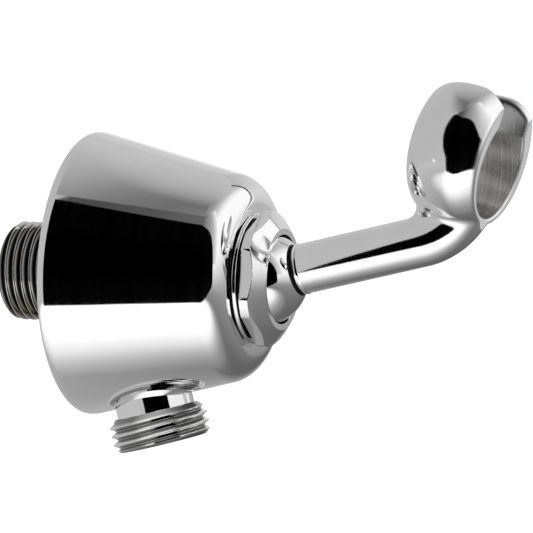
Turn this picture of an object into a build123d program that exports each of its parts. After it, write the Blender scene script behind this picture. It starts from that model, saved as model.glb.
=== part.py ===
from build123d import *
from math import cos, radians, sin, sqrt, tan
import os

# Wall outlet with a ball-jointed holder for a hand shower, in millimetres.
# The origin is the centre of the body's rear rim, on the wall. +Y goes into the wall,
# -Y comes out towards the user and +Z is up.

# Wall body: a hollow cone with a hub in the middle and a ball socket in front
rim_radius = 30.1
cone_angle = 14.57
body_length = 36.6
front_round = 6.6
rim_roll = 7.0
rim_roll_depth = 1.9
rim_round = 0.5
body_wall = 2.8
hollow_depth = 21.0
hollow_round = 3.0
hub_wall = 3.12
hub_recess = 1.5

# Inlet stub behind the wall face, with the bore that takes the valve cartridge
inlet_radius = 10.48
inlet_length = 18.5
inlet_chamfer = 1.2
cartridge_bore = 7.0
cartridge_depth = 15.5
water_radius = 5.2
water_end = 12.4
drill_point = 30.0

# Outlet nipple, square to the cone's top line
outlet_offset = 6.2
outlet_neck = 1.97
outlet_radius = 10.48
outlet_thread_length = 7.1
outlet_chamfer = 1.2
outlet_runout = 1.7
shank_radius = 8.25
shank_length = 12.0
nipple_bore = 5.6
boss_wall = 2.2
washer_wire = 0.75
screw_clearance = 0.05

# Ball joint
ball_radius = 10.0
ball_proud = 0.7
seat_clearance = 0.12
turning_clearance = 0.08
nut_gap = 1.5
nut_radius = 14.1
nut_across_flats = 26.2
nut_flat_count = 6
nut_flat_turn = 21.4
nut_land = 1.6
nut_dome_height = 2.6
nut_dome_round = 4.1
nut_lip = 1.2
nut_mouth = 9.1
nut_mouth_land = 0.4
nut_thread_radius = 12.5
nut_skirt = 6.5
nut_bore = 11.0
seat_fit = 0.05
front_seat_length = 2.9
rear_seat_length = 7.8
seat_gap = 0.4
rear_seat_lead = 0.9
spring_thickness = 0.6
spring_height = 1.7
spring_eye = 6.4
spring_play = 0.05

# Arm and fork
arm_lift = 13.9
arm_roll = 10.0
rod_radius = 5.25
stud_radius = 3.0
stud_length = 7.5
stud_clearance = 0.03
ball_joint_gap = 0.05
rod_straight = 36.3
rod_bend = 14.4
rod_bend_angle = 40.0
rod_end_chamfer = 1.0
rod_tail = 10.0
fork_angle = 28.9
fork_reach = 55.4
fork_rise = 10.8
fork_offset = 1.79
fork_face_radius = 13.3
fork_face_slope = 28.3
fork_face_reach = 0.9
fork_belly_radius = 15.58
fork_belly_depth = 5.68
fork_belly_reach = 2.68
fork_back_depth = 11.82
fork_back_fullness = 0.838
fork_bore = 10.5
fork_taper = 3.5
slot_width = 15.0
rod_blend = 2.6
prong_round = 1.0
fork_edge_round = 0.4

# Non-return valve in the inlet stub
valve_clearance = 0.1
valve_recess = 1.0
valve_chamber = 5.9
valve_seat_depth = 3.5
valve_opening = 4.0
valve_groove = 1.0
valve_groove_width = 1.3
valve_ring_fit = 0.02
spider_thickness = 2.0
spider_hub = 2.6
spoke_width = 1.6
spoke_count = 3
stem_radius = 1.3
stem_clearance = 0.1
poppet_radius = 5.2
poppet_thickness = 1.2
poppet_nose = 3.0
poppet_nose_length = 1.3
poppet_lift_gap = 0.05
valve_seal_thickness = 0.75
valve_seal_fit = 0.05
valve_wire = 0.25
valve_coil = 2.3
valve_pitch = 1.3
stem_tail = 1.0

# Turned pieces are drawn as (radius, distance in front of the wall)
cone = radians(cone_angle)
TURN = Plane(origin=(0, 0, 0), x_dir=(1, 0, 0), z_dir=(0, 0, -1))
BODY_AXIS = Axis((0, 0, 0), (0, -1, 0))

# The outlet's own plane: (radius, distance from the body's axis); it leaves the cone square to its surface
outlet_skin = (rim_radius - outlet_offset * tan(cone)) * cos(cone)
outlet_shoulder = outlet_skin + outlet_neck
outlet_reach = outlet_shoulder + outlet_thread_length
outlet_dir = Vector(0, -sin(cone), -cos(cone))
outlet_root = Vector(0, -outlet_offset, 0)
OUTLET_TURN = Plane(origin=outlet_root, x_dir=(1, 0, 0), z_dir=(0, cos(cone), -sin(cone)))
OUTLET_AXIS = Axis(outlet_root, outlet_dir)

# The arm's side plane: (distance along the rod from the ball's centre, height above the rod's axis)
lift = radians(arm_lift)
roll = radians(arm_roll)
ball_distance = body_length + ball_proud
ball_centre = Vector(0, -ball_distance, 0)
rod_dir = Vector(0, -cos(lift), sin(lift))
arm_up = Vector(sin(roll), sin(lift) * cos(roll), cos(lift) * cos(roll))
ROD_START = Plane(origin=ball_centre, x_dir=arm_up, z_dir=rod_dir)
ARM_SIDE = Plane(origin=ball_centre, x_dir=rod_dir, z_dir=rod_dir.cross(arm_up))

# The fork's own planes: its flat front face, and (radius, distance behind that face)
fork_turn = radians(fork_angle)
fork_dir = rod_dir * cos(fork_turn) - arm_up * sin(fork_turn)
fork_up = rod_dir * sin(fork_turn) + arm_up * cos(fork_turn)
fork_centre = ball_centre + rod_dir * fork_reach + arm_up * fork_rise
FORK_FACE = Plane(origin=fork_centre, x_dir=fork_up.cross(fork_dir), z_dir=fork_dir)
FORK_TURN = Plane(origin=fork_centre, x_dir=fork_up, z_dir=fork_dir.cross(fork_up))
FORK_AXIS = Axis(fork_centre, fork_dir)
barrel_centre = fork_centre + fork_up * fork_offset
BARREL_TURN = Plane(origin=barrel_centre, x_dir=fork_up, z_dir=fork_dir.cross(fork_up))
BARREL_AXIS = Axis(barrel_centre, fork_dir)


def cone_radius(distance):
    """Outer radius of the body's cone at a distance in front of the wall."""
    return rim_radius - distance * tan(cone)


def seat_radius(distance):
    """Radius of the ball seats' hollow at a distance in front of the wall."""
    return sqrt((ball_radius + seat_clearance) ** 2 - (distance - ball_distance) ** 2)


def behind_face(edge):
    """True for an edge that lies wholly or partly behind the fork's front face."""
    return (fork_centre - edge.center()).dot(fork_dir) > prong_round / 2


def in_face(edge):
    """True for an edge that lies in the fork's front face."""
    return abs((fork_centre - edge.center()).dot(fork_dir)) < fork_edge_round / 4


def outside_barrel(edge):
    """True for an edge of the slot that runs along the outside of the fork's barrel."""
    reach = edge.center() - fork_centre
    return behind_face(edge) and reach.dot(fork_up) > fork_bore


# Stack of the ball joint, as distances in front of the wall
nut_back = body_length + nut_gap
nut_land_end = nut_back + nut_land
nut_lip_radius = nut_mouth + nut_lip
nut_front = nut_land_end + nut_dome_height
nut_bore_end = nut_front - nut_mouth_land - (nut_bore - nut_mouth)
skirt_end = nut_back - nut_skirt
rear_seat_front = ball_distance - rear_seat_lead
rear_seat_back = rear_seat_front - rear_seat_length
front_seat_back = ball_distance + seat_gap
front_seat_front = front_seat_back + front_seat_length
socket_floor = rear_seat_back - spring_height - 2 * spring_play

# Stack of the outlet, as distances from the body's axis along the outlet
shank_end = outlet_shoulder - shank_length
outlet_floor = shank_end - 2 * washer_wire - screw_clearance
outlet_socket = shank_radius + screw_clearance

# Rim: the cone rolls over into a nearly straight edge just before the wall
roll_radius = cone_radius(rim_roll_depth) - rim_roll * cos(cone)
roll_distance = rim_roll_depth - rim_roll * sin(cone)
rim_edge = roll_radius + sqrt(rim_roll**2 - roll_distance**2)

# Hollow behind the cone, left open to the wall, with the outlet's boss standing in it
hub_radius = inlet_radius + hub_wall
inner_rim = rim_radius - body_wall / cos(cone)
inner_front = inner_rim - hollow_depth * tan(cone)
hollow_fillet = min(hollow_round, (inner_front - hub_radius) / 3)
with BuildPart() as hollow:
    with BuildSketch(TURN) as hollow_profile:
        with BuildLine():
            Polyline(
                (hub_radius, 0),
                (inner_rim, 0),
                (inner_front, hollow_depth),
                (hub_radius, hollow_depth),
                close=True,
            )
        make_face()
        fillet(hollow_profile.vertices().group_by(Axis.Y)[-1], radius=hollow_fillet)
    revolve(axis=BODY_AXIS)
    with BuildSketch(Plane(origin=outlet_root, x_dir=(1, 0, 0), z_dir=outlet_dir)):
        Circle(outlet_socket + boss_wall)
    extrude(amount=outlet_reach, mode=Mode.SUBTRACT)
    with BuildSketch(TURN):
        with BuildLine():
            Polyline(
                (inlet_radius, 0),
                (inner_rim, 0),
                (inner_rim - hub_recess * tan(cone), hub_recess),
                (inlet_radius, hub_recess),
                close=True,
            )
        make_face()
    revolve(axis=BODY_AXIS)

# Wall body
with BuildPart() as wall_body:
    with BuildSketch(TURN) as body_profile:
        with BuildLine():
            Polyline(
                (0, -inlet_length),
                (inlet_radius - inlet_chamfer, -inlet_length),
                (inlet_radius, inlet_chamfer - inlet_length),
                (inlet_radius, 0),
                (rim_edge, 0),
            )
            RadiusArc((rim_edge, 0), (cone_radius(rim_roll_depth), rim_roll_depth), -rim_roll)
            Polyline(
                (cone_radius(rim_roll_depth), rim_roll_depth),
                (cone_radius(body_length), body_length),
                (0, body_length),
                (0, -inlet_length),
            )
        make_face()
        fillet(body_profile.vertices().group_by(Axis.Y)[-1].sort_by(Axis.X)[-1], radius=front_round)
        fillet(body_profile.vertices().sort_by(Axis.X)[-1], radius=rim_round)
    revolve(axis=BODY_AXIS)
    add(hollow.part, mode=Mode.SUBTRACT)
    # Inlet bore, with the shoulder that stops the valve cartridge
    with BuildSketch(TURN):
        with BuildLine():
            Polyline(
                (0, -inlet_length),
                (cartridge_bore, -inlet_length),
                (cartridge_bore, cartridge_depth - inlet_length),
                (water_radius, cartridge_depth - inlet_length),
                (water_radius, water_end),
                (0, water_end + water_radius * tan(radians(drill_point))),
                close=True,
            )
        make_face()
    revolve(axis=BODY_AXIS, mode=Mode.SUBTRACT)
    # Outlet passage and the nipple's tapped socket
    with BuildSketch(OUTLET_TURN):
        with BuildLine():
            Polyline(
                (0, 0),
                (water_radius, 0),
                (water_radius, outlet_floor),
                (outlet_socket, outlet_floor),
                (outlet_socket, outlet_reach),
                (0, outlet_reach),
                close=True,
            )
        make_face()
    revolve(axis=OUTLET_AXIS, mode=Mode.SUBTRACT)
    # Ball socket: tapped for the nut's skirt, with the rear seat's pocket behind it
    with BuildSketch(TURN):
        with BuildLine():
            Polyline(
                (0, socket_floor),
                (nut_bore, socket_floor),
                (nut_bore, skirt_end - seat_gap),
                (nut_thread_radius + screw_clearance, skirt_end - seat_gap),
                (nut_thread_radius + screw_clearance, body_length),
                (0, body_length),
                close=True,
            )
        make_face()
    revolve(axis=BODY_AXIS, mode=Mode.SUBTRACT)
wall_body.part.label = "wall_body"

# Outlet nipple
with BuildPart() as outlet_nipple:
    with BuildSketch(OUTLET_TURN):
        with BuildLine():
            Polyline(
                (nipple_bore, shank_end),
                (shank_radius, shank_end),
                (shank_radius, outlet_shoulder),
                (outlet_radius - outlet_runout, outlet_shoulder),
                (outlet_radius, outlet_shoulder + outlet_runout),
                (outlet_radius, outlet_reach - outlet_chamfer),
                (outlet_radius - outlet_chamfer, outlet_reach),
                (nipple_bore, outlet_reach),
                close=True,
            )
        make_face()
    revolve(axis=OUTLET_AXIS)
outlet_nipple.part.label = "outlet_nipple"

# Sealing ring under the nipple
with BuildPart() as outlet_oring:
    with BuildSketch(OUTLET_TURN):
        with Locations(((nipple_bore + outlet_socket) / 2, shank_end - washer_wire - screw_clearance / 2)):
            Circle(washer_wire)
    revolve(axis=OUTLET_AXIS)
outlet_oring.part.label = "outlet_oring"

# Nut: turned, with a domed face, and six flats milled on its rim
with BuildPart() as retaining_nut:
    with BuildSketch(TURN):
        with BuildLine():
            Polyline(
                (nut_bore, skirt_end),
                (nut_thread_radius, skirt_end),
                (nut_thread_radius, nut_back),
                (nut_radius, nut_back),
                (nut_radius, nut_land_end),
            )
            RadiusArc((nut_radius, nut_land_end), (nut_lip_radius, nut_front), -nut_dome_round)
            Polyline(
                (nut_lip_radius, nut_front),
                (nut_mouth, nut_front),
                (nut_mouth, nut_front - nut_mouth_land),
                (nut_bore, nut_bore_end),
                (nut_bore, skirt_end),
            )
        make_face()
    revolve(axis=BODY_AXIS)
    with BuildSketch(Plane(origin=(0, -skirt_end, 0), x_dir=(1, 0, 0), z_dir=(0, -1, 0))):
        RegularPolygon(nut_across_flats / 2, nut_flat_count, major_radius=False, rotation=nut_flat_turn)
    extrude(amount=nut_front - skirt_end, mode=Mode.INTERSECT)
retaining_nut.part.label = "retaining_nut"

# Front seat: a ring in the nut that follows the ball
seat_outer = nut_bore - seat_fit
seat_nose = nut_bore_end + nut_bore - front_seat_front - 2 * seat_fit
with BuildPart() as front_seat:
    with BuildSketch(TURN):
        with BuildLine():
            Polyline(
                (seat_radius(front_seat_back), front_seat_back),
                (seat_outer, front_seat_back),
                (seat_outer, nut_bore_end - seat_fit),
                (seat_nose, front_seat_front),
                (seat_radius(front_seat_front), front_seat_front),
            )
            RadiusArc(
                (seat_radius(front_seat_front), front_seat_front),
                (seat_radius(front_seat_back), front_seat_back),
                ball_radius + seat_clearance,
            )
        make_face()
    revolve(axis=BODY_AXIS)
front_seat.part.label = "front_seat"

# Rear seat: an open cup that turns with the ball
cup_outer = nut_bore - turning_clearance
with BuildPart() as rear_seat:
    with BuildSketch(TURN):
        with BuildLine():
            Polyline(
                (seat_radius(rear_seat_back), rear_seat_back),
                (cup_outer, rear_seat_back),
                (cup_outer, rear_seat_front),
                (seat_radius(rear_seat_front), rear_seat_front),
            )
            RadiusArc(
                (seat_radius(rear_seat_front), rear_seat_front),
                (seat_radius(rear_seat_back), rear_seat_back),
                ball_radius + seat_clearance,
            )
        make_face()
    revolve(axis=BODY_AXIS)
rear_seat.part.label = "rear_seat"

# Disc spring between the socket's floor and the rear seat
spring_foot = socket_floor + spring_play
with BuildPart() as friction_spring:
    with BuildSketch(TURN):
        with BuildLine():
            Polyline(
                (spring_eye, spring_foot + spring_height - spring_thickness),
                (cup_outer, spring_foot),
                (cup_outer, spring_foot + spring_thickness),
                (spring_eye, spring_foot + spring_height),
                close=True,
            )
        make_face()
    revolve(axis=BODY_AXIS)
friction_spring.part.label = "friction_spring"

# Ball, bored for the arm's stud
with BuildPart() as ball:
    with Locations(ball_centre):
        Sphere(ball_radius)
    with BuildSketch(ROD_START.offset(ball_radius - stud_length - stud_clearance)):
        Circle(stud_radius + stud_clearance)
    extrude(amount=2 * ball_radius, mode=Mode.SUBTRACT)
ball.part.label = "ball"

# Arm: the fork's barrel and the rod that bends up under it, cut off flat in front
fork_depth = fork_belly_depth + fork_back_depth
face_slope = radians(fork_face_slope)
with BuildPart() as arm_fork:
    with BuildSketch(BARREL_TURN):
        with BuildLine():
            flank = Bezier(
                (fork_face_radius, 0),
                (fork_face_radius + fork_face_reach * sin(face_slope), fork_face_reach * cos(face_slope)),
                (fork_belly_radius, fork_belly_depth - fork_belly_reach),
                (fork_belly_radius, fork_belly_depth),
            )
            Bezier(
                (fork_belly_radius, fork_belly_depth),
                (fork_belly_radius, fork_belly_depth + fork_back_fullness * fork_back_depth),
                (fork_back_fullness * fork_belly_radius, fork_depth),
                (0, fork_depth),
            )
            Polyline((0, fork_depth), (0, -rod_tail), (fork_face_radius, -rod_tail), flank @ 0)
        make_face()
    revolve(axis=BARREL_AXIS)
    with BuildLine(ARM_SIDE) as rod_path:
        straight = Line((0, 0), (rod_straight, 0))
        bend = JernArc(straight @ 1, straight % 1, rod_bend, rod_bend_angle)
        Line(bend @ 1, bend @ 1 + (bend % 1) * rod_tail)
    with BuildSketch(ROD_START):
        Circle(rod_radius)
    sweep(path=rod_path.wires()[0])
    with BuildSketch(FORK_FACE):
        Rectangle(4 * fork_belly_radius, 4 * fork_belly_radius)
    extrude(amount=fork_reach, mode=Mode.SUBTRACT)
    # Cast blend where the rod runs into the barrel
    seams = arm_fork.edges().filter_by(GeomType.BSPLINE).filter_by(behind_face)
    fillet(seams, radius=rod_blend)
    # Tapered bore and slot for the hand shower's hose cone
    with BuildSketch(FORK_TURN):
        with BuildLine():
            Polyline(
                (0, 0),
                (fork_bore, 0),
                (fork_bore - 2 * fork_depth * tan(radians(fork_taper)), 2 * fork_depth),
                (0, 2 * fork_depth),
                close=True,
            )
        make_face()
    revolve(axis=FORK_AXIS, mode=Mode.SUBTRACT)
    with BuildSketch(FORK_FACE.offset(-2 * fork_depth)):
        with Locations((0, fork_belly_radius)):
            Rectangle(slot_width, 2 * fork_belly_radius)
    extrude(amount=2 * fork_depth, mode=Mode.SUBTRACT)
    prong_edges = arm_fork.edges(Select.NEW).filter_by(outside_barrel)
    fillet(prong_edges, radius=prong_round)
    fillet(arm_fork.edges().filter_by(in_face), radius=fork_edge_round)
    # Hollow end that meets the ball, and the stud that enters it
    with Locations(ball_centre):
        Sphere(ball_radius + ball_joint_gap, mode=Mode.SUBTRACT)
    chamfer(arm_fork.edges(Select.NEW).filter_by(GeomType.CIRCLE), length=rod_end_chamfer)
    with BuildSketch(ROD_START.offset(ball_radius - stud_length)):
        Circle(stud_radius)
    extrude(amount=stud_length + rod_radius)
arm_fork.part.label = "arm_fork"

# Valve cartridge: a seat with a sealing groove, a chamber, and a spider that guides the stem
valve_end = cartridge_depth - inlet_length - valve_ring_fit
valve_start = valve_recess - inlet_length
valve_seat = valve_start + valve_seat_depth
valve_outer = cartridge_bore - valve_clearance
groove_middle = valve_start + valve_seat_depth / 2
groove_floor = valve_outer - valve_groove
SPIDER = Plane(origin=(0, -valve_end, 0), x_dir=(1, 0, 0), z_dir=(0, 1, 0))
with BuildPart() as check_valve_housing:
    with BuildSketch(TURN):
        with BuildLine():
            Polyline(
                (valve_opening, valve_start),
                (valve_outer, valve_start),
                (valve_outer, groove_middle - valve_groove_width / 2),
                (groove_floor, groove_middle - valve_groove_width / 2),
                (groove_floor, groove_middle + valve_groove_width / 2),
                (valve_outer, groove_middle + valve_groove_width / 2),
                (valve_outer, valve_end),
                (stem_radius + stem_clearance, valve_end),
                (stem_radius + stem_clearance, valve_end - spider_thickness),
                (valve_chamber, valve_end - spider_thickness),
                (valve_chamber, valve_seat),
                (valve_opening, valve_seat),
                close=True,
            )
        make_face()
    revolve(axis=BODY_AXIS)
    with BuildSketch(SPIDER):
        Circle(valve_chamber)
        Circle(spider_hub, mode=Mode.SUBTRACT)
        with PolarLocations(valve_chamber / 2, spoke_count):
            Rectangle(valve_chamber, spoke_width, mode=Mode.SUBTRACT)
    extrude(amount=spider_thickness, mode=Mode.SUBTRACT)
check_valve_housing.part.label = "check_valve_housing"

# Sealing ring round the cartridge
with BuildPart() as check_valve_oring:
    with BuildSketch(TURN):
        with Locations(((groove_floor + cartridge_bore) / 2, groove_middle)):
            Circle((cartridge_bore - groove_floor) / 2 - valve_ring_fit)
    revolve(axis=BODY_AXIS)
check_valve_oring.part.label = "check_valve_oring"

# Plunger: a disc with a nose through the seal and a stem through the spider
seal_front = valve_seat + poppet_lift_gap
disc_back = seal_front + valve_seal_thickness
disc_front = disc_back + poppet_thickness
with BuildPart() as check_valve_poppet:
    with BuildSketch(TURN):
        with BuildLine():
            Polyline(
                (0, seal_front - poppet_nose_length),
                (poppet_nose, seal_front),
                (poppet_nose, disc_back),
                (poppet_radius, disc_back),
                (poppet_radius, disc_front),
                (stem_radius, disc_front),
                (stem_radius, valve_end - stem_tail),
                (0, valve_end - stem_tail),
                close=True,
            )
        make_face()
    revolve(axis=BODY_AXIS)
check_valve_poppet.part.label = "check_valve_poppet"

# Flat rubber ring carried by the plunger
with BuildPart() as check_valve_seal:
    with BuildSketch(TURN):
        with BuildLine():
            Polyline(
                (poppet_nose + valve_seal_fit, seal_front),
                (poppet_radius, seal_front),
                (poppet_radius, disc_back),
                (poppet_nose + valve_seal_fit, disc_back),
                close=True,
            )
        make_face()
    revolve(axis=BODY_AXIS)
check_valve_seal.part.label = "check_valve_seal"

# Closing spring between the plunger's disc and the spider
coil_start = disc_front + valve_wire + valve_ring_fit
coil_end = valve_end - spider_thickness - valve_wire - valve_ring_fit
with BuildPart() as check_valve_spring:
    with BuildLine():
        coil = Helix(
            pitch=valve_pitch,
            height=coil_end - coil_start,
            radius=valve_coil,
            center=(0, -coil_start, 0),
            direction=(0, -1, 0),
        )
    with BuildSketch(Plane(origin=coil @ 0, z_dir=coil % 0)):
        Circle(valve_wire)
    sweep(is_frenet=True)
check_valve_spring.part.label = "check_valve_spring"

os.makedirs("parts", exist_ok=True)
pieces = (
    wall_body,
    outlet_nipple,
    outlet_oring,
    retaining_nut,
    front_seat,
    rear_seat,
    friction_spring,
    ball,
    arm_fork,
    check_valve_housing,
    check_valve_oring,
    check_valve_poppet,
    check_valve_seal,
    check_valve_spring,
)
for piece in pieces:
    export_step(piece.part, f"parts/{piece.part.label}.step")
    print(piece.part.label, round(piece.part.volume, 1))
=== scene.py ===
# %% [markdown]
# A chromed wall outlet with a ball-jointed holder for a hand shower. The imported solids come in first
# and stay where they are: they are the frame that every piece below is fitted to. The scene is in
# metres, and sections of turned pieces are drawn in millimetres. +Y goes into the wall, -Y comes out to
# the user, +Z is up.

# %% Load the frame
import bpy
import bmesh
import math
from mathutils import Matrix, Vector


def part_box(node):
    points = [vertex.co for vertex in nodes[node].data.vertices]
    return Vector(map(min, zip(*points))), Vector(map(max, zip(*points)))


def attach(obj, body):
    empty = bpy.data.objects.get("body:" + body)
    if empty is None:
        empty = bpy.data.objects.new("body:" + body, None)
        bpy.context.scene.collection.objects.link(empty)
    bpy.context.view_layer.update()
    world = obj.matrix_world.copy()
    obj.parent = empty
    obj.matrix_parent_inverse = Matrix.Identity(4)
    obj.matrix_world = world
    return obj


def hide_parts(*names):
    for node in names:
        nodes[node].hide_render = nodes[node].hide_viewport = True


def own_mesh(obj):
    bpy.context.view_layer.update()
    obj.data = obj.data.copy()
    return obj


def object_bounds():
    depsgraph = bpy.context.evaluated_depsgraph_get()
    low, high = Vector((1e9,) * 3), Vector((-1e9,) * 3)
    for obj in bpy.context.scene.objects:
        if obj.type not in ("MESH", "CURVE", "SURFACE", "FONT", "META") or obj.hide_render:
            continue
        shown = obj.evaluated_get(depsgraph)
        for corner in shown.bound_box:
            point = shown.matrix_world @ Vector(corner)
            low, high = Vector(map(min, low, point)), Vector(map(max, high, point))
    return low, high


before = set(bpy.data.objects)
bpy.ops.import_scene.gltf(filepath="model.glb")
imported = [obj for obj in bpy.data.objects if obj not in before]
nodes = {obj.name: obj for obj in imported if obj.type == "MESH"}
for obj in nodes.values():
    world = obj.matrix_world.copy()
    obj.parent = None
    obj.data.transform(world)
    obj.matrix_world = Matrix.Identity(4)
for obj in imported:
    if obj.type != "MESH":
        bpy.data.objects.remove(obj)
cad_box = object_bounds()
MM = 0.001
print("solids:", len(nodes), "box in mm:", [round(size / MM, 1) for size in cad_box[1] - cad_box[0]])

# %% [markdown]
# Chrome has no colour of its own: what we see is the studio, bent round the metal. So the studio is
# built before any metal. The camera comes first, because every reflection depends on where it stands.
# The object was seen from its left and a little above, from about 0.7 m, with a long lens that keeps
# the cone's lines nearly parallel.

# %% Camera
IMAGE_SIDE = 533
VIEW_TURN = math.radians(-68.65)
VIEW_LIFT = math.radians(4.94)
VIEW_DISTANCE = 0.7
PIXELS_PER_METRE = 4730
AIM_RIGHT = 0.03595
AIM_UP = 0.00133
SENSOR = 36.0
NEAREST_SEEN = 0.01

to_camera = Vector((
    math.sin(VIEW_TURN) * math.cos(VIEW_LIFT),
    -math.cos(VIEW_TURN) * math.cos(VIEW_LIFT),
    math.sin(VIEW_LIFT),
))
view_right = Vector((math.cos(VIEW_TURN), math.sin(VIEW_TURN), 0))
view_up = to_camera.cross(view_right)

camera_data = bpy.data.cameras.new("camera")
camera_data.sensor_width = SENSOR
camera_data.lens = SENSOR * PIXELS_PER_METRE * VIEW_DISTANCE / IMAGE_SIDE
camera_data.clip_start = NEAREST_SEEN
camera = bpy.data.objects.new("camera", camera_data)
camera.location = to_camera * VIEW_DISTANCE + view_right * AIM_RIGHT + view_up * AIM_UP
camera.rotation_euler = Matrix((view_right, view_up, to_camera)).transposed().to_euler()
bpy.context.scene.collection.objects.link(camera)
bpy.context.scene.camera = camera
bpy.context.scene.view_settings.view_transform = "Standard"
print("lens:", round(camera_data.lens, 1), "mm")

# %% [markdown]
# The background is plain white, and the metal mirrors the same white. The world node sees which kind of
# ray is asking: rays from the camera and mirrored rays get full white, and the rest, which light dull
# surfaces, get a little less so that pale plastics don't burn out.

# %% World
WHITE = 1.0
DOME_LIGHT = 0.75

world = bpy.data.worlds.new("studio")
world.use_nodes = True
bpy.context.scene.world = world
tree = world.node_tree
background = tree.nodes["Background"]
path = tree.nodes.new("ShaderNodeLightPath")
seen = tree.nodes.new("ShaderNodeMath")
seen.operation = "MAXIMUM"
seen_through = tree.nodes.new("ShaderNodeMath")
seen_through.operation = "MAXIMUM"
strength = tree.nodes.new("ShaderNodeMapRange")
strength.inputs["To Min"].default_value = DOME_LIGHT
strength.inputs["To Max"].default_value = WHITE
tree.links.new(path.outputs["Is Camera Ray"], seen.inputs[0])
tree.links.new(path.outputs["Is Glossy Ray"], seen.inputs[1])
tree.links.new(seen.outputs[0], seen_through.inputs[0])
tree.links.new(path.outputs["Is Transmission Ray"], seen_through.inputs[1])
tree.links.new(seen_through.outputs[0], strength.inputs["Value"])
tree.links.new(strength.outputs["Result"], background.inputs["Strength"])
background.inputs["Color"].default_value = (1, 1, 1, 1)
print("world:", WHITE, "to the eye and to mirrors,", DOME_LIGHT, "to dull surfaces")

# %% [markdown]
# A chrome photographer works with cards: a black one beside the lens gives the metal its dark heart, a
# white one below it a bright band, and grey ones overhead and behind round the form off. A card's shade
# may fade along an axis or away from a spot, and the fade is set in metres. A Color Ramp would do it in
# colours, but a Float Curve node gives the plain brightness that an Emission node takes.

# %% Fade maker
def fade(shader_tree, measure, stops):
    """Brightness set at places along an axis, or at distances from a spot: [(metres, level), ...]."""
    place = shader_tree.nodes.new("ShaderNodeNewGeometry")
    if measure in ("X", "Y", "Z"):
        reading = shader_tree.nodes.new("ShaderNodeSeparateXYZ")
        shader_tree.links.new(place.outputs["Position"], reading.inputs[0])
        distance = reading.outputs[measure]
    else:
        reading = shader_tree.nodes.new("ShaderNodeVectorMath")
        reading.operation = "DISTANCE"
        reading.inputs[1].default_value = measure
        shader_tree.links.new(place.outputs["Position"], reading.inputs[0])
        distance = reading.outputs["Value"]
    start, end = stops[0][0], stops[-1][0]
    along = shader_tree.nodes.new("ShaderNodeMapRange")
    along.inputs["From Min"].default_value = start
    along.inputs["From Max"].default_value = end
    shader_tree.links.new(distance, along.inputs["Value"])
    curve_node = shader_tree.nodes.new("ShaderNodeFloatCurve")
    shader_tree.links.new(along.outputs["Result"], curve_node.inputs["Value"])
    curve = curve_node.mapping.curves[0]
    while len(curve.points) < len(stops):
        curve.points.new(0.5, 0.5)
    for point, (metres, level) in zip(curve.points, stops):
        point.location = ((metres - start) / (end - start), level)
        point.handle_type = "VECTOR"
    curve_node.mapping.update()
    return curve_node.outputs[0]


# %% [markdown]
# Each card is a flat sheet that glows by a set amount. The camera looks through the cards, but the
# metal mirrors them, and they throw no shadow. An area lamp is mirrored as well, but it can't have an
# outline of our own. Where a card has two fades the brighter one wins.

# %% Card maker
def card(name, corners, level=0.0, fades=()):
    """A flat card through its corners, mirrored by the metal and not seen by the camera."""
    material = bpy.data.materials.new(name)
    material.use_nodes = True
    shader_tree = material.node_tree
    shader_tree.nodes.clear()
    emission = shader_tree.nodes.new("ShaderNodeEmission")
    output = shader_tree.nodes.new("ShaderNodeOutputMaterial")
    shader_tree.links.new(emission.outputs[0], output.inputs["Surface"])
    emission.inputs["Strength"].default_value = level
    readings = [fade(shader_tree, measure, stops) for measure, stops in fades]
    if readings:
        brighter = readings[0]
        for other in readings[1:]:
            larger = shader_tree.nodes.new("ShaderNodeMath")
            larger.operation = "MAXIMUM"
            shader_tree.links.new(brighter, larger.inputs[0])
            shader_tree.links.new(other, larger.inputs[1])
            brighter = larger.outputs[0]
        shader_tree.links.new(brighter, emission.inputs["Strength"])
    mesh = bpy.data.meshes.new(name)
    mesh.from_pydata(corners, [], [tuple(range(len(corners)))])
    mesh.materials.append(material)
    sheet = bpy.data.objects.new(name, mesh)
    bpy.context.scene.collection.objects.link(sheet)
    sheet.visible_camera = False
    sheet.visible_diffuse = False
    sheet.visible_shadow = False
    print(name, "corners:", len(corners))
    return sheet


# %% [markdown]
# The dark card stands to the left of the object, half turned to it, with a high shoulder at the wall's
# end and a low one at the user's end. A grey screen carries it, dark beside the card and white at its
# free edge, so that the black fades out on the rounded front of the body instead of stopping at a line.

# %% Black card and its screen
SCREEN_WALL_END = Vector((-0.1636, -0.0025))
SCREEN_DIRECTION = Vector((0.5547, -0.8321))
SCREEN_LENGTH = 0.229
SCREEN_BOTTOM = 0.03
SCREEN_TOP = 0.36
SCREEN_SHADE = [(-0.1636, 0.06), (-0.142, 0.085), (-0.120, 0.17), (-0.103, 0.24), (-0.087, 0.31),
                (-0.070, 0.43), (-0.053, 0.68), (-0.0366, 0.95)]
BLACK_OUTLINE = [
    (-0.011, -0.057), (0.0, -0.056), (0.05, -0.0490), (0.07, -0.0462), (0.085, -0.0440), (0.097, -0.0410),
    (0.11, -0.0365), (0.122, -0.0315), (0.135, -0.0255), (0.15, -0.0195), (0.172, -0.011), (0.178, -0.002),
    (0.178, 0.04), (0.172, 0.07), (0.16, 0.10), (0.14, 0.127), (0.118, 0.148), (0.078, 0.19), (0.038, 0.24),
    (0.008, 0.285), (-0.011, 0.31)]
BLACK_LEAD = 0.0005


def on_screen(along, height, lead=0.0):
    """A point of the screen: metres along it, height, and how far it stands off towards the object."""
    plan = SCREEN_WALL_END + SCREEN_DIRECTION * along + SCREEN_DIRECTION.orthogonal() * lead
    return (plan.x, plan.y, height)


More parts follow.
